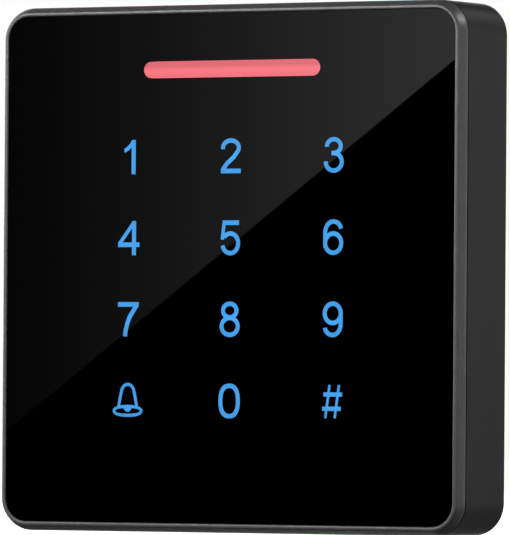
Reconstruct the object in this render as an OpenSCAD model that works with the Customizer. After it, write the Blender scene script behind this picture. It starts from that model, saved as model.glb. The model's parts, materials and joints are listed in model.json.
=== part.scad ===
// Keypad access reader, 86 mm square, hung on a steel wall plate.
// X runs to the right, Z up, and the front faces -Y. The wall is the plane y = 0.

/* [Body] */
// Outer width and height of the square body
body_size = 86; // [84:0.5:92]
// Depth from the wall to the front rim
body_depth = 15.6; // [15:0.1:16]
// Radius of the body's outer corners
corner_r = 5.3; // [5:0.1:8]
// Thickness of the housing's side walls
wall = 2; // [1.8:0.1:2.4]
// Gap between the wall and the housing's rear edge
rear_gap = 0.3; // [0.2:0.05:0.5]

/* [Front frame] */
// Width of the flat rim around the front panel
rim_w = 0.7; // [0.5:0.05:1]
// Width of the sloped band outside the rim
slope_w = 0.8; // [0.4:0.05:1]
// Depth of the sloped band
slope_d = 2; // [1:0.05:2.2]
// Depth of the steeper band along the slope's outer edge
edge_d = 0.55; // [0.3:0.05:0.8]
// How far the front panel lies behind the rim
panel_inset = 0.15; // [0.1:0.05:0.3]
// Thickness of the front panel
panel_t = 1.85; // [1.5:0.05:2]

/* [Keys] */
// Distance between the columns of keys
column_pitch = 19; // [17:0.5:20]
// Distance between the rows of keys
row_pitch = 13.25; // [12:0.05:14]
// Height of the top row of keys above the centre
top_row = 18.2; // [16:0.1:20]
// How far the symbols and the light bar sit to the right of the middle
print_x = 0.55; // [0:0.05:1]
// Depth of the key windows in the front panel
window_t = 0.3; // [0.2:0.05:0.6]
// Width of the strokes of the key symbols
stroke_w = 0.75; // [0.6:0.05:0.9]

/* [Status light] */
// Length of the light bar
bar_w = 32.7; // [20:0.1:36]
// Height of the light bar
bar_h = 2.6; // [2:0.1:4]
// Height of the light bar above the centre
bar_z = 32.4; // [30:0.1:34]

/* [Wall plate] */
// Width and height of the wall plate
plate_size = 81; // [80:0.1:81]
// Thickness of the plate's steel sheet
plate_t = 1.5; // [1.2:0.1:1.5]
// Distance between the two wall screws
screw_spacing = 60.3; // [60:0.1:60.6]
// Width of the slots for the wall screws
slot_w = 4.2; // [4:0.1:4.6]
// Length of the slots for the wall screws
slot_l = 7; // [6:0.1:8]
// Distance from the centre to each hook
hook_x = 22; // [20:0.5:24]

/* [Hidden] */
KEY_NODES = ["key_window_1", "key_window_2", "key_window_3", "key_window_4",
    "key_window_5", "key_window_6", "key_window_7", "key_window_8",
    "key_window_9", "key_window_bell", "key_window_0", "key_window_hash"];
$fn = 64;

// Outline: every ring of the body is measured from the same corner centres
half = body_size / 2;
arc_c = half - corner_r;              // corner centres, from the body's centre
panel_gap = 0.05;                     // play around the front panel
edge_w = 0.1;                         // width of the slope's steeper outer band
parting_gap = 0.04;                   // shadow gap between the frame and the housing
bore_r = corner_r - slope_w - rim_w;  // corner radius of the frame's opening
panel_r = bore_r - panel_gap;         // corner radius of the front panel
inner_r = corner_r - wall;            // corner radius inside the housing
inner_half = arc_c + inner_r;         // half the housing's inner width
spigot_r = corner_r - 0.8;            // outside of the frame's spigot
ledge_r = 2.7;                        // inside of the frame's ledge

// Layers, from the front rim back to the wall
rim_y = -body_depth;
slope_y = rim_y + slope_d;            // where the frame meets the housing
panel_y = rim_y + panel_inset;        // front face of the panel
panel_back = panel_y + panel_t;
sheet_t = 0.5;                        // gasket and diffuser
touch_y = panel_back + sheet_t;       // front face of the touch board
touch_t = 1;
touch_back = touch_y + touch_t;
board_t = 1.6;
board_back = -8;                      // rear face of the main board
board_y = board_back - board_t;
cover_y = -2.9;                       // front face of the back cover
cover_t = 1.2;
cover_back = cover_y + cover_t;

// Places on the boards and covers
boss_xz = 38;                         // corner bosses, each way
boss_r = 3.2;
screw_r = 1.1;                        // cover screws
post_x = 26;                          // posts of the main board
post_z = 25.5;
post_r = 3;
post_screw_r = 0.9;
board_half = 37.5;
board_notch = 5.2;                    // cut from the main board's corners
led_hole_r = 1.2;
status_led_x = 10;                    // from one status light to the next
tamper_xz = [-22, -16];
reset_xz = [22, -14];
window_w = 26;                        // cable window in the back cover
window_h = 13;
header_w = 19;
header_h = 6.4;
header_pitch = 2;
header_count = 8;

// Hooks and tab that hold the reader on the wall plate
hook_w = 8;
hook_z = 37.5;                        // underside of each hook
hook_top = 40.2;                      // top of each hook's lip
hook_y = -5.3;                        // front of each hook
lip_t = 1.2;
tab_w = 12;
tab_z = -40.3;                        // underside of the bottom tab
tab_y = -8;                           // front of the bottom tab
lock_y = -5;                          // axis of the security screw
lock_r = 1.45;
lock_head_r = 2.5;
lock_head_t = 0.95;
lock_play = 0.05;                     // under the screw's head
lock_recess = 1;                      // depth of the recess for its head
lock_tip = -37;

// Tamper switch: the plunger's tip rests just short of the wall
tamper_tip = -0.2;
tamper_travel = 1.5;
tamper_rim = -3.3;                    // rear face of the switch body
tamper_floor = -7.4;                  // floor of its bore
tamper_bore_r = 2.1;
tamper_collar_r = 1.85;
tamper_lip = 0.6;                     // keeps the collar in the bore
tamper_r = 1.2;
tamper_collar_y = tamper_rim - tamper_lip - tamper_travel - 0.05;
tamper_collar_t = 0.6;

// ---- Plane shapes, drawn in X and Z ----

// Extrudes a plane shape from depth y0 to depth y1
module slab(y0, y1)
    translate([0, y1, 0]) rotate([90, 0, 0]) linear_extrude(y1 - y0) children();

module rounded_rect(w, h, r) {
    square([w, h - 2 * r], center = true);
    square([w - 2 * r, h], center = true);
    for (x = [-1, 1], z = [-1, 1])
        translate([x * (w / 2 - r), z * (h / 2 - r)]) circle(r);
}

// A square with the body's corner centres, at corner radius r
module body_square(r) rounded_rect(2 * (arc_c + r), 2 * (arc_c + r), r);

module obround(w, h) {
    square([w - h, h], center = true);
    for (x = [-1, 1]) translate([x * (w - h) / 2, 0]) circle(h / 2);
}

module bar_outline(grow = 0)
    translate([print_x, bar_z]) obround(bar_w + 2 * grow, bar_h + 2 * grow);

module at_corners(x, z) for (i = [-1, 1], k = [-1, 1]) translate([i * x, 0, k * z]) children();

// Sweeps a section, drawn as distance from the corner centre against depth, around the body
module around_body()
    for (turn = [0 : 3]) rotate([0, 90 * turn, 0]) translate([arc_c, 0, -arc_c]) {
        linear_extrude(2 * arc_c) children();
        rotate([-90, 0, 0]) rotate_extrude(angle = 90) children();
    }

// A cylinder along Y from depth y0 to depth y1
module pin_y(x, z, r, y0, y1) translate([x, y1, z]) rotate([90, 0, 0]) cylinder(h = y1 - y0, r = r);

// A block from depth y0 to depth y1, centred at x and z
module block(x, z, w, h, y0, y1) translate([x - w / 2, y0, z - h / 2]) cube([w, y1 - y0, h]);

// ---- Symbols, each drawn about its own centre ----

symbol_h = 5.6;
symbol_w = 3.7;
overshoot = 0.1;                      // of rounded symbols, above and below flat ones
round_w = stroke_w - 0.03;            // rounded strokes
slant_w = stroke_w - 0.13;            // slanted strokes
fine_w = 0.5;                         // strokes of the bell
top = (symbol_h - stroke_w) / 2 + overshoot;  // centre line of a rounded top
side = (symbol_w - stroke_w) / 2;             // centre line of the side strokes

function arc(cx, cz, rx, rz, from, to, steps = 28) =
    [for (i = [0 : steps]) let (a = from + (to - from) * i / steps)
        [cx + rx * cos(a), cz + rz * sin(a)]];

// A closed oval, squarer than an ellipse when power is over 2
function oval(cx, cz, rx, rz, power = 2, steps = 60) =
    [for (i = [0 : steps - 1]) let (a = 360 * i / steps)
        [cx + rx * sign(cos(a)) * pow(abs(cos(a)), 2 / power),
         cz + rz * sign(sin(a)) * pow(abs(sin(a)), 2 / power)]];

function unit(v) = v / norm(v);
function left_of(v) = [-v[1], v[0]];

// The point beside point i of a path, offset to its left
function beside(path, i, offset) =
    let (last = len(path) - 1,
         a = unit(path[max(i, 1)] - path[max(i, 1) - 1]),
         b = unit(path[min(i, last - 1) + 1] - path[min(i, last - 1)]),
         mid = unit(left_of(a) + left_of(b)))
    path[i] + mid * offset / (mid * left_of(a));

module stroke(path, w = stroke_w)
    polygon(concat([for (i = [0 : len(path) - 1]) beside(path, i, -w / 2)],
                   [for (i = [len(path) - 1 : -1 : 0]) beside(path, i, w / 2)]));

// A closed stroke along an oval
module ring(cx, cz, rx, rz, w = round_w, power = 2)
    difference() {
        polygon(oval(cx, cz, rx + w / 2, rz + w / 2, power));
        polygon(oval(cx, cz, rx - w / 2, rz - w / 2, power));
    }

module stem(x) translate([x, -symbol_h / 2]) square([stroke_w, symbol_h]);

module top_bar(x0, x1)
    translate([x0, symbol_h / 2 - stroke_w]) square([x1 - x0, stroke_w]);

// A slanted stroke, kept within x0 to x1 and above z0
module clipped(path, x0, x1, z0)
    intersection() {
        stroke(path, slant_w);
        translate([x0, z0]) square([x1 - x0, symbol_h / 2 - z0]);
    }

module one() {
    x = 0.42;
    difference() {
        stem(x);
        polygon([[x - 1, symbol_h / 2 + 1], [x - 0.1, symbol_h / 2 - 0.6], [x + 0.4, symbol_h / 2 + 0.2]]);
    }
    clipped([[-1, 0.98], [-0.25, 1.42], [0.35, 2], [0.95, 2.95]], -0.95, x + stroke_w, 0);
}

module two() {
    stroke(concat([[-side, 1.12]], arc(0, 1.35, side, top - 1.35, 180, -38),
                  [[0.55, -0.15], [-0.7, -1.2], [-1.34, -1.95], [-1.49, -2.5]]), round_w);
    translate([-symbol_w / 2, -symbol_h / 2]) square([symbol_w, stroke_w]);
}

module three() {
    waist = 0.3;
    upper = (top - waist) / 2;
    lower = (top + waist) / 2;
    stroke(concat(arc(0, waist + upper, side - 0.2, upper, 185, -90), [[-0.42, waist]]), round_w);
    stroke(arc(0, waist - lower, side, lower, 90, -183), round_w);
}

module four() {
    cross_z = -1.45;
    stem(0.6);
    translate([-2, cross_z]) square([4, stroke_w]);
    clipped([[-2.12, -1.39], [1.34, 3.07]], -2, 1, cross_z);
}

module five() {
    top_bar(-1.42, 1.6);
    stroke([[-1.12, symbol_h / 2], [-1.48, -0.32]], slant_w);
    stroke(arc(0, -0.92, side, top - 0.92, 142, -167), round_w);
}

module six() {
    bowl_z = -0.97;
    ring(0, bowl_z, side, top + bowl_z);
    stroke(concat(arc(0, 1.25, side - 0.07, top - 1.25, 5, 90, 14),
                  arc(0, 0.75, side, top - 0.75, 96, 180, 14), [[-side, bowl_z]]), round_w);
}

module seven() {
    top_bar(-1.95, 1.95);
    stroke([[1.68, 2.45], [0.94, 1.39], [0.22, 0.3], [-0.2, -0.75], [-0.46, -1.75],
            [-0.6, -symbol_h / 2]]);
}

module eight() {
    ring(0, 1.42, 1.25, top - 1.42);
    ring(0, -1.15, side + 0.03, top - 1.15);
}

module zero() ring(0, 0, side + 0.15, top - 0.06, power = 2.4);

module hash() {
    for (z = [1.15, -1.15]) translate([-1.71 + z * 0.1, z - 0.34]) square([3.42, 0.68]);
    for (x = [-0.86, 0.86]) stroke([[x - 0.38, -2.68], [x + 0.38, 2.68]], 0.43);
}

module bell() {
    ring(0, -1.72, 2.55, 0.72, fine_w, 2.3);
    stroke(concat([[-1.7, -1.05], [-1.42, 0.45]], arc(0, 1.2, 1.2, 1.42, 170, 10),
                  [[1.42, 0.45], [1.7, -1.05]]), fine_w);
    polygon(concat(arc(0, -1.1, 0.74, 0.76, 180, 360), [[0.74, -0.9], [-0.74, -0.9]]));
}

// The symbol of key k, counted along the rows from the top left
module symbol(k) {
    if (k == 0) one();
    if (k == 1) two();
    if (k == 2) three();
    if (k == 3) four();
    if (k == 4) five();
    if (k == 5) six();
    if (k == 6) seven();
    if (k == 7) eight();
    if (k == 8) rotate(180) six();
    if (k == 9) bell();
    if (k == 10) zero();
    if (k == 11) hash();
}

function key_x(k) = print_x + (k % 3 - 1) * column_pitch;
function key_z(k) = top_row - floor(k / 3) * row_pitch;
function led_x(i) = print_x + i * status_led_x;
KEYS = [0 : 11];
STATUS_LEDS = [-1 : 1];

module key_window(k)
    color("#46a0f0") translate([key_x(k), 0, key_z(k)])
        slab(panel_y, panel_y + window_t) symbol(k);

// ---- Wall plate and its screw ----

module plate_outline()
    difference() {
        rounded_rect(plate_size, plate_size, 2);
        for (x = [-1, 1], z = [-1, 1])
            translate([x * plate_size / 2, z * plate_size / 2]) rounded_rect(14, 14, 1.5);
        for (x = [-1, 1]) translate([x * screw_spacing / 2, 0]) obround(slot_l, slot_w);
        for (x = [-1, 1], z = [-1, 1]) translate([x * 27, z * 20]) circle(slot_w / 2);
        rounded_rect(36, 24, 3);
        translate(tamper_xz) circle(2.5);
        for (x = [-1, 1]) translate([x * hook_x, hook_z - 3.5]) square([hook_w, 7], center = true);
        for (x = [-1, 1]) translate([x * (tab_w + 1) / 2, -39.5]) square([1, 4], center = true);
    }

module hook() {
    block(0, hook_z + plate_t / 2, hook_w, plate_t, hook_y, 0);
    block(0, (hook_z + hook_top) / 2, hook_w, hook_top - hook_z, hook_y, hook_y + lip_t);
}

module wall_plate()
    color("#a9adb0") difference() {
        union() {
            slab(-plate_t, 0) plate_outline();
            for (x = [-1, 1]) translate([x * hook_x, 0, 0]) hook();
            block(0, tab_z + plate_t / 2, tab_w, plate_t, tab_y, 0);
        }
        translate([0, lock_y, tab_z - 1]) cylinder(h = plate_t + 2, r = lock_r + 0.15);
    }

module security_screw()
    color("#3a3c3f") translate([0, lock_y, -half]) difference() {
        union() {
            cylinder(h = lock_head_t, r = lock_head_r);
            cylinder(h = half + lock_tip, r = lock_r);
        }
        translate([0, 0, -0.1]) cylinder(h = 0.75, r = 1.15, $fn = 6);
    }

// ---- Shell ----

module frame_section()
    polygon([
        [bore_r, rim_y], [bore_r + rim_w, rim_y],
        [corner_r - edge_w, slope_y - edge_d], [corner_r, slope_y], [spigot_r, slope_y],
        [spigot_r, touch_back], [ledge_r, touch_back],
        [ledge_r, touch_y], [bore_r, touch_y]]);

module bezel_frame() color("#4c4d50") around_body() frame_section();

module housing_section()
    polygon([
        [corner_r, slope_y + parting_gap], [corner_r, -rear_gap],
        [inner_r, -rear_gap], [inner_r, touch_back],
        [spigot_r + 0.05, touch_back], [spigot_r + 0.05, slope_y + parting_gap]]);

// Room for the security screw, open to the rear so that the reader can swing off it
module lock_slot(r, z0, z1) {
    translate([0, lock_y, z0]) cylinder(h = z1 - z0, r = r);
    translate([-r, lock_y, z0]) cube([2 * r, -lock_y + 1, z1 - z0]);
}

module housing()
    color("#323234") difference() {
        union() {
            around_body() housing_section();
            at_corners(boss_xz, boss_xz) pin_y(0, 0, boss_r, touch_back + 0.5, cover_y);
        }
        at_corners(boss_xz, boss_xz) pin_y(0, 0, screw_r, -8, cover_y + 1);
        lock_slot(lock_r + 0.25, -half - 1, -inner_half + 1);
        lock_slot(lock_head_r + 0.3, -half - 1, -half + lock_recess);
    }

module cover_opening(x, w, h) translate([x, 0]) obround(w, h);

module back_cover()
    color("#2b2b2d") difference() {
        union() {
            slab(cover_y, cover_back) body_square(inner_r - 0.15);
            for (x = [-1, 1]) slab(-5.8, cover_y) cover_opening(x * screw_spacing / 2, 13.4, 11.4);
            slab(cover_y - 1.4, cover_y) rounded_rect(window_w + 2, window_h + 2, 2);
            at_corners(post_x, post_z) pin_y(0, 0, post_r, board_back, cover_y);
        }
        for (x = [-1, 1]) slab(-5, 0) cover_opening(x * screw_spacing / 2, 11.4, 9.4);
        slab(cover_y - 2, 0) rounded_rect(window_w, window_h, 1);
        at_corners(post_x, post_z) pin_y(0, 0, post_screw_r, board_back - 1, -4);
        at_corners(boss_xz, boss_xz) pin_y(0, 0, screw_r + 0.3, cover_y - 1, 0);
        for (x = [-1, 1]) block(x * hook_x, 37.55, hook_w + 1.4, 3.5, cover_y - 1, 0);
        block(0, -39, tab_w + 2, 6.4, cover_y - 1, 0);
        pin_y(tamper_xz[0], tamper_xz[1], tamper_collar_r, cover_y - 1, 0);
        pin_y(reset_xz[0], reset_xz[1], 1.5, cover_y - 1, 0);
    }

module rating_label()
    color("#c9ccd0") slab(cover_back, cover_back + 0.1)
        translate([0, -23]) rounded_rect(30, 16, 1);

module cover_screws()
    color("#8e9296") at_corners(boss_xz, boss_xz) difference() {
        union() {
            pin_y(0, 0, 2.2, cover_back, cover_back + 1.2);
            pin_y(0, 0, screw_r, -7.5, cover_back);
        }
        for (turn = [0, 90]) rotate([0, turn, 0]) block(0, 0, 2.6, 0.5, cover_back + 0.6, 0);
    }

// ---- Front panel and what lies behind it ----

module front_panel()
    color("#060606") difference() {
        slab(panel_y, panel_back) body_square(panel_r);
        for (k = KEYS) translate([key_x(k), 0, key_z(k)])
            slab(panel_y - 1, panel_y + window_t) symbol(k);
        slab(panel_y - 1, panel_back + 1) bar_outline(panel_gap);
    }

module panel_gasket()
    color("#1b1b1c") slab(panel_back, touch_y) difference() {
        body_square(panel_r);
        body_square(ledge_r + 0.05);
    }

module status_light_bar()
    color("#f87c86") {
        slab(panel_y, panel_back) bar_outline();
        slab(panel_back, touch_y) bar_outline(1);
    }

module diffuser_sheet()
    color("#e8ebee") slab(panel_back, touch_y) difference() {
        body_square(ledge_r - 0.12);
        bar_outline(1.2);
    }

module touch_board()
    color("#14532f") slab(touch_y, touch_back) difference() {
        body_square(ledge_r - 0.12);
        for (k = KEYS) translate([key_x(k), key_z(k)]) circle(led_hole_r);
        for (i = STATUS_LEDS) translate([led_x(i), bar_z]) circle(led_hole_r);
    }

module led() {
    block(0, 0, 3, 1.6, touch_back, touch_back + 0.7);
    block(0, 0, 3.6, 1, touch_back, touch_back + 0.25);
}

module key_leds()
    color("#f2f0e4") for (k = KEYS) translate([key_x(k), 0, key_z(k)]) led();

module status_leds()
    color("#f2f0e4") for (i = STATUS_LEDS) translate([led_x(i), 0, bar_z]) led();

module touch_controller()
    color("#1e1e20") block(9.5, -15.2, 6, 6, touch_back, touch_back + 0.9);

module board_connector()
    color("#d9d2bf") block(0, -34, 14, 3.2, touch_back, board_y);

// ---- Main board, with its parts on the rear face ----

module main_board()
    color("#14532f") slab(board_y, board_back) difference() {
        rounded_rect(2 * board_half, 2 * board_half, 1);
        for (x = [-1, 1], z = [-1, 1]) {
            translate([x * board_half, z * board_half]) square(2 * board_notch, center = true);
            translate([x * post_x, z * post_z]) circle(post_screw_r + 0.3);
        }
    }

module antenna_coil()
    color("#b06a36") slab(board_y - 1, board_y) difference() {
        rounded_rect(63.6, 63.6, 5);
        rounded_rect(58.6, 58.6, 3);
    }

module board_screws()
    color("#8e9296") at_corners(post_x, post_z) difference() {
        union() {
            pin_y(0, 0, 2, board_y - 1.2, board_y);
            pin_y(0, 0, post_screw_r, board_y, -4.5);
        }
        for (turn = [0, 90]) rotate([0, turn, 0]) block(0, 0, 2.4, 0.5, board_y - 2, board_y - 0.6);
    }

module microcontroller() {
    color("#1e1e20") block(-9, -20, 10, 10, board_back + 0.1, board_back + 1.5);
    color("#b9bcc0") for (i = [-5 : 5]) {
        block(-9 + i * 0.8, -20, 0.35, 12, board_back, board_back + 0.6);
        block(-9, -20 + i * 0.8, 12, 0.35, board_back, board_back + 0.6);
    }
}

module crystal()
    color("#c3c6c9") slab(board_back, board_back + 3.5) translate([-9, -30]) obround(10.6, 4.2);

module relay()
    color("#2f4f7f") block(12, 19.5, 15, 7.5, board_back, board_back + 4.8);

module buzzer()
    color("#1e1e20") difference() {
        pin_y(-12, 19.5, 4.8, board_back, board_back + 4.2);
        pin_y(-12, 19.5, 1, board_back + 3, board_back + 5);
    }

module wiring_header()
    color("#ece7da") difference() {
        block(0, 0, header_w, header_h, board_back, cover_y - 0.3);
        block(0, 0, header_w - 1.6, header_h - 1.6, board_back + 1.2, 0);
        for (i = [0 : header_count - 1])
            block((i - (header_count - 1) / 2) * header_pitch, 0, 0.5, 0.5, board_back - 1, 0);
    }

module header_pins()
    color("#c9a94b") for (i = [0 : header_count - 1])
        block((i - (header_count - 1) / 2) * header_pitch, 0, 0.5, 0.5, board_back, cover_y - 1);

module voltage_regulator() {
    color("#1e1e20") block(12, -18, 6.5, 6, board_back + 0.1, board_back + 2.3);
    color("#b9bcc0") block(12, -14.6, 5.2, 2.4, board_back, board_back + 0.6);
    color("#b9bcc0") for (i = [-1 : 1]) block(12 + i * 2.2, -21.6, 0.8, 2.6, board_back, board_back + 0.6);
}

module capacitors()
    color("#b9bcc0") for (x = [10, 17]) {
        pin_y(x, -29, 2.5, board_back + 0.5, board_back + 4.6);
        block(x, -29, 5.2, 5.2, board_back, board_back + 0.6);
    }

module tamper_switch_body()
    color("#1e1e20") translate([tamper_xz[0], 0, tamper_xz[1]]) difference() {
        block(0, 0, 6, 6, board_back, tamper_rim);
        pin_y(0, 0, tamper_bore_r, tamper_floor, tamper_rim - tamper_lip);
        pin_y(0, 0, tamper_r + 0.15, tamper_floor, 0);
    }

module tamper_plunger()
    color("#e6e6e2") translate([tamper_xz[0], 0, tamper_xz[1]]) {
        pin_y(0, 0, tamper_r, tamper_collar_y, tamper_tip - 0.3);
        pin_y(0, 0, tamper_r - 0.3, tamper_tip - 0.4, tamper_tip);
        pin_y(0, 0, tamper_collar_r, tamper_collar_y - tamper_collar_t, tamper_collar_y);
    }

// Coil spring between the floor of the bore and the plunger's collar
spring_wire = 0.14;                   // radius of the wire
spring_turns = 3;
spring_y0 = tamper_floor + spring_wire;
spring_y1 = tamper_collar_y - tamper_collar_t - spring_wire;
spring_r = 1.5;
spring_rings = 20 * spring_turns;
spring_sides = 8;

module tamper_spring()
    color("#c3c6c9") translate([tamper_xz[0], 0, tamper_xz[1]]) polyhedron(
        points = [for (i = [0 : spring_rings], j = [0 : spring_sides - 1])
            let (turn = 360 * spring_turns * i / spring_rings, a = 360 * j / spring_sides,
                 r = spring_r + spring_wire * cos(a),
                 y = spring_y0 + (spring_y1 - spring_y0) * i / spring_rings)
            [r * cos(turn), y + spring_wire * sin(a), r * sin(turn)]],
        faces = concat(
            [[for (j = [0 : spring_sides - 1]) j]],
            [[for (j = [spring_sides - 1 : -1 : 0]) spring_rings * spring_sides + j]],
            [for (i = [0 : spring_rings - 1], j = [0 : spring_sides - 1])
                let (next = (j + 1) % spring_sides, here = i * spring_sides, on = here + spring_sides)
                [here + j, on + j, on + next, here + next]]));

module reset_switch_body()
    color("#1e1e20") translate([reset_xz[0], 0, reset_xz[1]]) difference() {
        block(0, 0, 6, 6, board_back, board_back + 3.1);
        pin_y(0, 0, 1.8, board_back + 1.4, 0);
    }

module reset_button()
    color("#9c2f2a") pin_y(reset_xz[0], reset_xz[1], 1.65, board_back + 2, cover_y - 0.4);

wall_plate();
security_screw();
housing();
bezel_frame();
front_panel();
panel_gasket();
status_light_bar();
diffuser_sheet();
touch_board();
key_leds();
status_leds();
touch_controller();
board_connector();
main_board();
antenna_coil();
board_screws();
microcontroller();
crystal();
relay();
buzzer();
wiring_header();
header_pins();
voltage_regulator();
capacitors();
tamper_switch_body();
tamper_plunger();
tamper_spring();
reset_switch_body();
reset_button();
back_cover();
cover_screws();
rating_label();
for (k = KEYS)
    key_window(k);
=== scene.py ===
import json
import math

import bpy
from mathutils import Matrix, Vector


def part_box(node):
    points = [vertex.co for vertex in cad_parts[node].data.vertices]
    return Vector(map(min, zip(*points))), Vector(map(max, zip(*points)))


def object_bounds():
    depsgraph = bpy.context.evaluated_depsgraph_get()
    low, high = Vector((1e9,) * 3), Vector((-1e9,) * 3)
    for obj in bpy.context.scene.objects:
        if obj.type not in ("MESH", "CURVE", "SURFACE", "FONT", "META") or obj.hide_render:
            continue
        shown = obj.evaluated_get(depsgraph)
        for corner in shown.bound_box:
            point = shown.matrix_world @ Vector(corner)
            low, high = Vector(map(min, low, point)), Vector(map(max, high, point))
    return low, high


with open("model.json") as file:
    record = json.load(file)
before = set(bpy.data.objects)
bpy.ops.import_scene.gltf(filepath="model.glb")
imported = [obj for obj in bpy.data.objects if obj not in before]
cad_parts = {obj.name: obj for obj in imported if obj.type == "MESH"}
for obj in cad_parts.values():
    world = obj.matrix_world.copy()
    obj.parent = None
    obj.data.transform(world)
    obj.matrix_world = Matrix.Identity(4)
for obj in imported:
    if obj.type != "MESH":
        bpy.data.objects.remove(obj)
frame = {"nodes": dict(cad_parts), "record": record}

MM = 0.001
NODES = frame["nodes"]
CAD_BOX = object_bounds()
BODY_LOW, BODY_HIGH = CAD_BOX
PANEL_LOW, PANEL_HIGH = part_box("front_panel")
BAR_LOW, BAR_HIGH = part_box("status_light_bar")

# Keys: the middle column's distance from the centre, and the top row's height
PRINT_X = 0.55 * MM
COLUMN_PITCH = 19 * MM
ROW_PITCH = 13.25 * MM
TOP_ROW = 18.2 * MM

# Camera: where it stands, seen from the middle of the back plane
AZIMUTH = math.radians(29.06)
ELEVATION = math.radians(-1.07)
ROLL = math.radians(0.41)
DISTANCE = 1.283
SHIFT_RIGHT = -2.98 * MM
SHIFT_UP = 0.39 * MM
LENS = 526.4
SENSOR = 36

# Studio floor
FLOOR_GAP = 3 * MM           # below the body, so that the screw can travel down
FLOOR_SIZE = 5.0
FLOOR_COLOUR = (0.8, 0.8, 0.8, 1)
FADE_START, FADE_END = 0.08, 0.32     # from the centre, where the floor fades to white
FLOOR_GLOW = 0.60                     # of its own, before it fades

# What the panel mirrors: a card cut along a slanted edge, dim on the left and bright on the right
CARD_Y = -0.5                # both cards stand this far in front
CARD_LEFT = -26.8 * MM       # height at which the edge crosses the panel's left side
CARD_RIGHT = 33.3 * MM       # and the panel's right side
CARD_REACH = 1.15            # how far the card goes past the panel's outline
CARD_DIM, CARD_BRIGHT = 0.055, 0.24   # brightness of the reflection at those sides, as seen
DISPLAY_GAMMA = 2.4
PANEL_GLOSS = 0.038          # share of light that the panel mirrors at the camera's angle

# A second card, for someone who stands straight in front
FRONT_LEFT, FRONT_RIGHT = -0.09, 0.50
FRONT_LOW, FRONT_HIGH, FRONT_TOP = -0.06, 0.30, 0.60   # the edge's left and right ends, the top

# Glow of the studio's far side, and how it grows to the right and down
BACK_GLOW = 0.105
GLOW_TO_RIGHT = 0.116
GLOW_DOWN = 0.10
GLOW_EDGE = 1.6              # how sharply it ends at the sides


# ---- Camera, world, lights and stage ----

def camera_axes():
    """The camera's directions before it is rolled: backwards, right and up."""
    back = Vector((math.sin(AZIMUTH) * math.cos(ELEVATION),
                   -math.cos(AZIMUTH) * math.cos(ELEVATION), math.sin(ELEVATION)))
    right = Vector((math.cos(AZIMUTH), math.sin(AZIMUTH), 0))
    return back, right, back.cross(right)


def camera_place():
    back, right, up = camera_axes()
    return back * DISTANCE + right * SHIFT_RIGHT + up * SHIFT_UP


def make_camera():
    back, right, up = camera_axes()
    x_axis = right * math.cos(ROLL) + up * math.sin(ROLL)
    y_axis = up * math.cos(ROLL) - right * math.sin(ROLL)
    data = bpy.data.cameras.new("camera")
    data.lens = LENS
    data.sensor_width = SENSOR
    data.dof.use_dof = False
    camera = bpy.data.objects.new("camera", data)
    bpy.context.scene.collection.objects.link(camera)
    place = camera_place()
    turned = Matrix((x_axis, y_axis, back)).transposed().to_4x4()
    camera.matrix_world = Matrix.Translation(place) @ turned
    bpy.context.scene.camera = camera


def node(tree, kind, **settings):
    made = tree.nodes.new(kind)
    for name, value in settings.items():
        setattr(made, name, value)
    return made


def math_node(tree, operation, a, b=None, c=None, clamp=False):
    """A Math node whose inputs are numbers or sockets, and its output."""
    made = node(tree, "ShaderNodeMath", operation=operation, use_clamp=clamp)
    for socket, value in zip(made.inputs, (a, b, c)):
        if value is None:
            continue
        if isinstance(value, (int, float)):
            socket.default_value = value
        else:
            tree.links.new(value, socket)
    return made.outputs[0]


def make_world():
    """White to the camera. To the object, a dark studio that glows behind it."""
    world = bpy.data.worlds.new("studio")
    world.use_nodes = True
    bpy.context.scene.world = world
    tree = world.node_tree
    tree.nodes.clear()
    seen = node(tree, "ShaderNodeBackground")
    seen.inputs["Color"].default_value = (1, 1, 1, 1)
    studio = node(tree, "ShaderNodeBackground")
    studio.inputs["Color"].default_value = (1, 1, 1, 1)
    split = node(tree, "ShaderNodeSeparateXYZ")
    tree.links.new(node(tree, "ShaderNodeTexCoord").outputs["Generated"], split.inputs[0])
    behind = math_node(tree, "MULTIPLY", split.outputs["Y"], GLOW_EDGE, clamp=True)
    glow = math_node(tree, "MULTIPLY_ADD", split.outputs["X"], GLOW_TO_RIGHT, BACK_GLOW)
    glow = math_node(tree, "MULTIPLY_ADD", split.outputs["Z"], -GLOW_DOWN, glow, clamp=True)
    tree.links.new(math_node(tree, "MULTIPLY", glow, behind), studio.inputs["Strength"])
    mix = node(tree, "ShaderNodeMixShader")
    tree.links.new(node(tree, "ShaderNodeLightPath").outputs["Is Camera Ray"], mix.inputs[0])
    tree.links.new(studio.outputs[0], mix.inputs[1])
    tree.links.new(seen.outputs[0], mix.inputs[2])
    tree.links.new(mix.outputs[0], node(tree, "ShaderNodeOutputWorld").inputs["Surface"])


# Soft lights: name, place, size and power in watts. Each looks at the middle of the object.
LIGHTS = [
    ("front", (-0.22, -0.40, 0.14), 0.07, 1.8),
    ("front_right", (0.35, -0.42, 0.10), 0.20, 0.9),
    ("right_high", (0.60, 0.20, 0.50), 0.20, 3.0),
    ("right_side", (0.70, 0.20, 0.05), 0.25, 0.42),
    ("right_rear", (0.54, 0.45, 0.05), 0.12, 0.25),
    ("rear_high", (0.11, 0.79, 0.41), 0.20, 0.12),
    ("rear_low", (-0.35, 0.65, -0.50), 0.25, 0.35),
    ("left_side", (-0.70, 0.05, 0.10), 0.40, 5.0),
    ("rear_left", (-0.62, 0.66, 0.12), 0.80, 2.4),
]

# The front lights only bring out the frame: polished pieces would mirror them, and the
# housing's walls would flare
NOT_LIT_FROM_FRONT = ["front_panel", "status_light_bar", "housing"]
NOT_LIT_FROM_FRONT += [name for name in NODES if name.startswith("key_window")]


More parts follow.
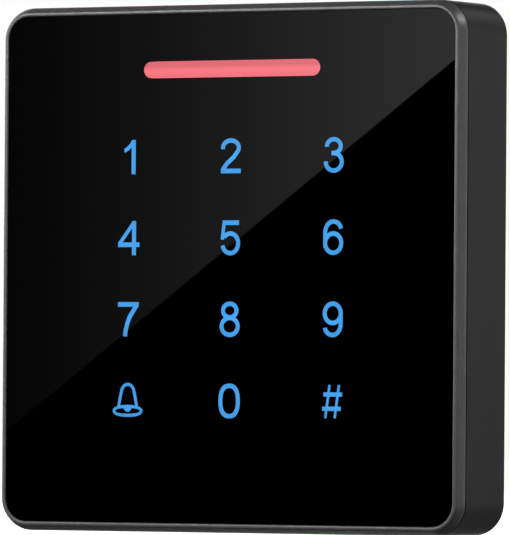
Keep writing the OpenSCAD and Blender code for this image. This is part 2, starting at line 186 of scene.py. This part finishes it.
def make_lights():
    unlit = bpy.data.collections.new("not_lit_from_front")
    for name in NOT_LIT_FROM_FRONT:
        unlit.objects.link(NODES[name])
    for entry in unlit.collection_objects:
        entry.light_linking.link_state = "EXCLUDE"
    for name, place, size, power in LIGHTS:
        data = bpy.data.lights.new(name, "AREA")
        data.shape = "SQUARE"
        data.size = size
        data.energy = power
        lamp = bpy.data.objects.new(name, data)
        lamp.location = place
        lamp.rotation_mode = "QUATERNION"
        lamp.rotation_quaternion = (-Vector(place)).to_track_quat("-Z", "Y")
        lamp.visible_camera = False
        if name.startswith("front"):
            lamp.light_linking.receiver_collection = unlit
        bpy.context.scene.collection.objects.link(lamp)


def make_object(name, vertices, faces):
    mesh = bpy.data.meshes.new(name)
    mesh.from_pydata(vertices, [], faces)
    mesh.update()
    made = bpy.data.objects.new(name, mesh)
    bpy.context.scene.collection.objects.link(made)
    return made


def empty_material(name):
    """A material without nodes, and its tree."""
    material = bpy.data.materials.new(name)
    material.use_nodes = True
    material.node_tree.nodes.clear()
    return material, material.node_tree


def make_floor():
    """A pale floor that takes the object's soft shadow, fades to white away from it and can't be
    seen from below."""
    half, level = FLOOR_SIZE / 2, BODY_LOW.z - FLOOR_GAP
    floor = make_object("floor", [(-half, -half, level), (half, -half, level),
                                  (half, half, level), (-half, half, level)], [(0, 1, 2, 3)])
    floor.visible_glossy = False
    floor.visible_diffuse = False
    floor.visible_shadow = False
    material, tree = empty_material("floor")
    length = node(tree, "ShaderNodeVectorMath", operation="LENGTH")
    tree.links.new(node(tree, "ShaderNodeTexCoord").outputs["Object"], length.inputs[0])
    away = node(tree, "ShaderNodeMapRange", interpolation_type="SMOOTHSTEP")
    tree.links.new(length.outputs["Value"], away.inputs["Value"])
    away.inputs["From Min"].default_value = FADE_START
    away.inputs["From Max"].default_value = FADE_END
    away.inputs["To Min"].default_value = FLOOR_GLOW
    away.inputs["To Max"].default_value = 1.0
    emission = node(tree, "ShaderNodeEmission")
    tree.links.new(away.outputs["Result"], emission.inputs["Strength"])
    matte = node(tree, "ShaderNodeBsdfDiffuse")
    matte.inputs["Color"].default_value = FLOOR_COLOUR
    both = node(tree, "ShaderNodeAddShader")
    tree.links.new(emission.outputs[0], both.inputs[0])
    tree.links.new(matte.outputs[0], both.inputs[1])
    mix = node(tree, "ShaderNodeMixShader")
    tree.links.new(node(tree, "ShaderNodeNewGeometry").outputs["Backfacing"], mix.inputs[0])
    tree.links.new(both.outputs[0], mix.inputs[1])
    tree.links.new(node(tree, "ShaderNodeBsdfTransparent").outputs[0], mix.inputs[2])
    tree.links.new(mix.outputs[0], node(tree, "ShaderNodeOutputMaterial").inputs["Surface"])
    floor.data.materials.append(material)


def make_card(name, corners, dim, bright):
    """A card seen only in reflections, dim at its first corner and bright at its second."""
    card = make_object(name, corners, [(0, 1, 2, 3)])
    card.visible_camera = False
    card.visible_diffuse = False
    card.visible_shadow = False
    card.visible_transmission = False
    material, tree = empty_material(name)
    split = node(tree, "ShaderNodeSeparateXYZ")
    tree.links.new(node(tree, "ShaderNodeTexCoord").outputs["Object"], split.inputs[0])
    across = node(tree, "ShaderNodeMapRange")
    tree.links.new(split.outputs["X"], across.inputs["Value"])
    across.inputs["From Min"].default_value = corners[0][0]
    across.inputs["From Max"].default_value = corners[1][0]
    across.inputs["To Min"].default_value = dim
    across.inputs["To Max"].default_value = bright
    light = math_node(tree, "POWER", across.outputs["Result"], DISPLAY_GAMMA)
    emission = node(tree, "ShaderNodeEmission")
    tree.links.new(math_node(tree, "DIVIDE", light, PANEL_GLOSS), emission.inputs["Strength"])
    tree.links.new(emission.outputs[0], node(tree, "ShaderNodeOutputMaterial").inputs["Surface"])
    card.data.materials.append(material)


def make_reflection_card():
    """The card that the panel mirrors to the camera, laid out on the panel and cast onto CARD_Y
    from the camera's mirror image."""
    panel_y = PANEL_LOW.y
    eye = camera_place()
    mirrored = Vector((eye.x, 2 * panel_y - eye.y, eye.z))
    left, right, top = PANEL_LOW.x, PANEL_HIGH.x, PANEL_HIGH.z * CARD_REACH
    slope = (CARD_RIGHT - CARD_LEFT) / (right - left)
    ends = (left * CARD_REACH, right * CARD_REACH)
    outline = [(x, CARD_LEFT + slope * (x - left)) for x in ends]
    outline += [(x, top) for x in reversed(ends)]
    stretch = (CARD_Y - mirrored.y) / (panel_y - mirrored.y)
    corners = [mirrored + (Vector((x, panel_y, z)) - mirrored) * stretch for x, z in outline]
    make_card("reflection_card", corners, CARD_DIM, CARD_BRIGHT)


def make_front_card():
    """The card that the panel mirrors to someone straight in front."""
    corners = [(FRONT_LEFT, CARD_Y, FRONT_LOW), (FRONT_RIGHT, CARD_Y, FRONT_HIGH),
               (FRONT_RIGHT, CARD_Y, FRONT_TOP), (FRONT_LEFT, CARD_Y, FRONT_TOP)]
    make_card("front_card", corners, CARD_DIM, CARD_BRIGHT)


# ---- Materials ----

def object_coords(tree, stretch=(1, 1, 1)):
    mapping = node(tree, "ShaderNodeMapping")
    mapping.inputs["Scale"].default_value = stretch
    tree.links.new(node(tree, "ShaderNodeTexCoord").outputs["Object"], mapping.inputs["Vector"])
    return mapping.outputs["Vector"]


def noise(tree, size, detail=3, stretch=(1, 1, 1)):
    """Noise from 0 to 1 with features about size metres across."""
    made = node(tree, "ShaderNodeTexNoise")
    made.inputs["Scale"].default_value = 1 / size
    made.inputs["Detail"].default_value = detail
    tree.links.new(object_coords(tree, stretch), made.inputs["Vector"])
    return made.outputs["Fac"]


def ramp(tree, factor, low, high, start=0.3, end=0.7):
    """Maps a factor onto low to high, which are numbers or colours."""
    if isinstance(low, (int, float)):
        made = node(tree, "ShaderNodeMapRange")
        made.inputs["To Min"].default_value = low
        made.inputs["To Max"].default_value = high
        made.inputs["From Min"].default_value = start
        made.inputs["From Max"].default_value = end
        tree.links.new(factor, made.inputs["Value"])
        return made.outputs["Result"]
    made = node(tree, "ShaderNodeValToRGB")
    stops = made.color_ramp.elements
    stops[0].position, stops[1].position = start, end
    stops[0].color, stops[1].color = (*low, 1), (*high, 1)
    tree.links.new(factor, made.inputs["Fac"])
    return made.outputs["Color"]


def shade(colour, amount):
    """A colour made lighter or darker by an amount."""
    return tuple(min(1, c * amount) for c in colour)


def principled(name, **sockets):
    """A material, its tree and its shader, whose sockets are named with _ for a space."""
    material = bpy.data.materials.new(name)
    material.use_nodes = True
    shader = material.node_tree.nodes["Principled BSDF"]
    for socket, value in sockets.items():
        shader.inputs[socket.replace("_", " ")].default_value = value
    return material, material.node_tree, shader


def add_bump(tree, shader, height, depth, strength=1.0):
    bump = node(tree, "ShaderNodeBump")
    bump.inputs["Distance"].default_value = depth
    bump.inputs["Strength"].default_value = strength
    tree.links.new(height, bump.inputs["Height"])
    tree.links.new(bump.outputs["Normal"], shader.inputs["Normal"])


def grained(name, colour, roughness, grain=0.3 * MM, depth=0.01 * MM, spread=0.12,
            rough_spread=0.06, blotch=9 * MM, stretch=(1, 1, 1), **sockets):
    """A moulded, painted or metal surface: blotchy colour, uneven gloss and a fine grain."""
    material, tree, shader = principled(name, **sockets)
    broad = noise(tree, blotch, 2)
    fine = noise(tree, grain, 4, stretch)
    tree.links.new(ramp(tree, broad, shade(colour, 1 - spread), shade(colour, 1 + spread)),
                   shader.inputs["Base Color"])
    tree.links.new(ramp(tree, fine, roughness - rough_spread, roughness + rough_spread),
                   shader.inputs["Roughness"])
    add_bump(tree, shader, fine, depth)
    return material


def key_glow():
    """Blue symbol lit from behind, brightest over the middle of each key."""
    material, tree, shader = principled(
        "blue_light", Base_Color=(0.004, 0.012, 0.03, 1), Roughness=0.02,
        Emission_Color=(0.064, 0.36, 0.85, 1))
    split = node(tree, "ShaderNodeSeparateXYZ")
    tree.links.new(object_coords(tree), split.inputs[0])
    along = math_node(tree, "SUBTRACT", split.outputs["X"], PRINT_X)
    x = math_node(tree, "WRAP", along, COLUMN_PITCH / 2, -COLUMN_PITCH / 2)
    down = math_node(tree, "SUBTRACT", split.outputs["Z"], TOP_ROW)
    z = math_node(tree, "WRAP", down, ROW_PITCH / 2, -ROW_PITCH / 2)
    away = math_node(tree, "SQRT", math_node(tree, "ADD", math_node(tree, "MULTIPLY", x, x),
                                             math_node(tree, "MULTIPLY", z, z)))
    cloud = noise(tree, 1.5 * MM, 2)
    strength = ramp(tree, away, 1.06, 0.84, 0.5 * MM, 4 * MM)
    tree.links.new(math_node(tree, "MULTIPLY", strength, ramp(tree, cloud, 0.96, 1.04)),
                   shader.inputs["Emission Strength"])
    return material


def bar_glow():
    """Red light bar, lit from behind and brightest just below its middle."""
    material, tree, shader = principled(
        "red_light", Base_Color=(0.05, 0.008, 0.01, 1), Roughness=0.02,
        Emission_Color=(0.97, 0.19, 0.23, 1))
    split = node(tree, "ShaderNodeSeparateXYZ")
    tree.links.new(object_coords(tree), split.inputs[0])
    middle = (BAR_LOW.z + BAR_HIGH.z) / 2
    below = ramp(tree, split.outputs["Z"], 0.86, 1.0, middle - 1.3 * MM, middle - 0.2 * MM)
    above = ramp(tree, split.outputs["Z"], 1.0, 0.76, middle - 0.1 * MM, middle + 0.6 * MM)
    tree.links.new(math_node(tree, "MULTIPLY", below, above), shader.inputs["Emission Strength"])
    return material


def black_panel():
    """Polished black acrylic with hardly visible wipe marks."""
    material, tree, shader = principled("black_acrylic", IOR=1.49)
    wipe = noise(tree, 14 * MM, 5, (1, 1, 3))
    dark, light = (0.0002, 0.0002, 0.0002), (0.0005, 0.0005, 0.0005)
    tree.links.new(ramp(tree, wipe, dark, light), shader.inputs["Base Color"])
    tree.links.new(ramp(tree, wipe, 0.006, 0.014), shader.inputs["Roughness"])
    return material


def circuit_board():
    """Green solder mask over fine copper tracks."""
    material, tree, shader = principled("circuit_board", Coat_Weight=0.3, Coat_Roughness=0.2)
    cells = node(tree, "ShaderNodeTexBrick", offset=0.5, squash=0.6, squash_frequency=3)
    cells.inputs["Scale"].default_value = 240
    cells.inputs["Mortar Size"].default_value = 0.03
    cells.inputs["Color1"].default_value = (0.006, 0.085, 0.03, 1)
    cells.inputs["Color2"].default_value = (0.008, 0.10, 0.036, 1)
    cells.inputs["Mortar"].default_value = (0.02, 0.17, 0.06, 1)
    swap = node(tree, "ShaderNodeCombineXYZ")
    split = node(tree, "ShaderNodeSeparateXYZ")
    tree.links.new(object_coords(tree), split.inputs[0])
    tree.links.new(split.outputs["X"], swap.inputs["X"])
    tree.links.new(split.outputs["Z"], swap.inputs["Y"])
    tree.links.new(swap.outputs[0], cells.inputs["Vector"])
    tree.links.new(cells.outputs["Color"], shader.inputs["Base Color"])
    tree.links.new(ramp(tree, noise(tree, 1 * MM), 0.30, 0.42), shader.inputs["Roughness"])
    add_bump(tree, shader, cells.outputs["Fac"], 0.03 * MM, 0.6)
    return material


def zinc_steel():
    """Zinc-plated sheet: faint rolling lines along X and cloudy plating."""
    return grained("zinc_steel", (0.56, 0.58, 0.59), 0.36, grain=0.25 * MM, depth=0.004 * MM,
                   spread=0.10, rough_spread=0.08, blotch=6 * MM, stretch=(0.08, 1, 1),
                   Metallic=1.0)


MATERIALS = {
    "zinc_steel": zinc_steel,
    "black_steel": lambda: grained("black_steel", (0.035, 0.036, 0.038), 0.38, 0.2 * MM,
                                   Metallic=0.85),
    "housing_plastic": lambda: grained("housing_plastic", (0.010, 0.010, 0.011), 0.44,
                                       grain=0.22 * MM, depth=0.006 * MM, spread=0.06,
                                       Specular_IOR_Level=0.41),
    "frame_plastic": lambda: grained("frame_plastic", (0.055, 0.055, 0.057), 0.42,
                                     grain=0.35 * MM, depth=0.004 * MM, spread=0.12,
                                     blotch=1.5 * MM),
    "black_acrylic": black_panel,
    "foam": lambda: grained("foam", (0.018, 0.018, 0.018), 0.85, 0.5 * MM, 0.08 * MM),
    "white_film": lambda: grained("white_film", (0.80, 0.81, 0.83), 0.5, 0.4 * MM),
    "circuit_board": circuit_board,
    "led_white": lambda: grained("led_white", (0.80, 0.78, 0.66), 0.35, 0.3 * MM),
    "chip_black": lambda: grained("chip_black", (0.014, 0.014, 0.015), 0.55, 0.15 * MM),
    "connector_nylon": lambda: grained("connector_nylon", (0.72, 0.68, 0.57), 0.45, 0.4 * MM),
    "copper": lambda: grained("copper", (0.58, 0.24, 0.10), 0.3, 0.12 * MM, 0.02 * MM,
                              Metallic=1.0),
    "screw_steel": lambda: grained("screw_steel", (0.50, 0.51, 0.52), 0.28, 0.2 * MM,
                                   Metallic=1.0),
    "tin_can": lambda: grained("tin_can", (0.68, 0.69, 0.70), 0.32, 0.2 * MM, Metallic=1.0),
    "relay_blue": lambda: grained("relay_blue", (0.02, 0.06, 0.20), 0.4, 0.3 * MM),
    "pin_gold": lambda: grained("pin_gold", (0.80, 0.58, 0.24), 0.25, 0.2 * MM, Metallic=1.0),
    "plunger_white": lambda: grained("plunger_white", (0.74, 0.74, 0.71), 0.42, 0.3 * MM),
    "button_red": lambda: grained("button_red", (0.36, 0.03, 0.02), 0.42, 0.3 * MM),
    "cover_plastic": lambda: grained("cover_plastic", (0.030, 0.030, 0.032), 0.55,
                                     grain=0.35 * MM, depth=0.03 * MM),
    "label_silver": lambda: grained("label_silver", (0.52, 0.53, 0.54), 0.4, 0.3 * MM,
                                    Metallic=0.8),
    "blue_light": key_glow,
    "red_light": bar_glow,
}


def paint_nodes():
    """Gives every node the material of its slot."""
    made = {}
    for part in frame["record"]["subparts"]:
        slot = part["material_slot"]
        if slot not in made:
            made[slot] = MATERIALS[slot]()
        mesh = NODES[part["node"]].data
        mesh.materials.clear()
        mesh.materials.append(made[slot])


# ---- Edges ----

# Width in mm of the small rounding on each node's edges
ROUNDED = {
    "housing": 0.12, "bezel_frame": 0.24, "wall_plate": 0.2, "back_cover": 0.25,
    "security_screw": 0.12, "relay": 0.2, "buzzer": 0.2, "wiring_header": 0.12,
    "cover_screws": 0.12, "crystal": 0.3, "capacitors": 0.2, "reset_button": 0.15,
    "tamper_plunger": 0.1, "microcontroller": 0.06, "voltage_regulator": 0.1,
}
FRAME_EDGE, OTHER_EDGES = 12, 35       # only edges that turn by more degrees are rounded
ROUNDING_STEPS = 4
WELD_DISTANCE = 0.002 * MM
FLAT_SHEETS = ("wall_plate", "back_cover")   # large faces, joined so that they shade evenly
SAME_PLANE = 0.5                       # degrees


def round_edges():
    for name, radius in ROUNDED.items():
        piece = NODES[name]
        weld = piece.modifiers.new("weld", "WELD")
        weld.merge_threshold = WELD_DISTANCE
        if name in FLAT_SHEETS:
            joined = piece.modifiers.new("join_flat_faces", "DECIMATE")
            joined.decimate_type = "DISSOLVE"
            joined.angle_limit = math.radians(SAME_PLANE)
        bevel = piece.modifiers.new("round", "BEVEL")
        bevel.width = radius * MM
        bevel.segments = ROUNDING_STEPS
        bevel.limit_method = "ANGLE"
        bevel.angle_limit = math.radians(FRAME_EDGE if name == "bezel_frame" else OTHER_EDGES)
        bevel.use_clamp_overlap = True
        flat = piece.modifiers.new("flat", "WEIGHTED_NORMAL")
        flat.mode = "FACE_AREA"
        flat.weight = 100


make_camera()
make_world()
make_lights()
make_floor()
make_reflection_card()
make_front_card()
paint_nodes()
round_edges()
bpy.context.scene.view_settings.view_transform = "Standard"
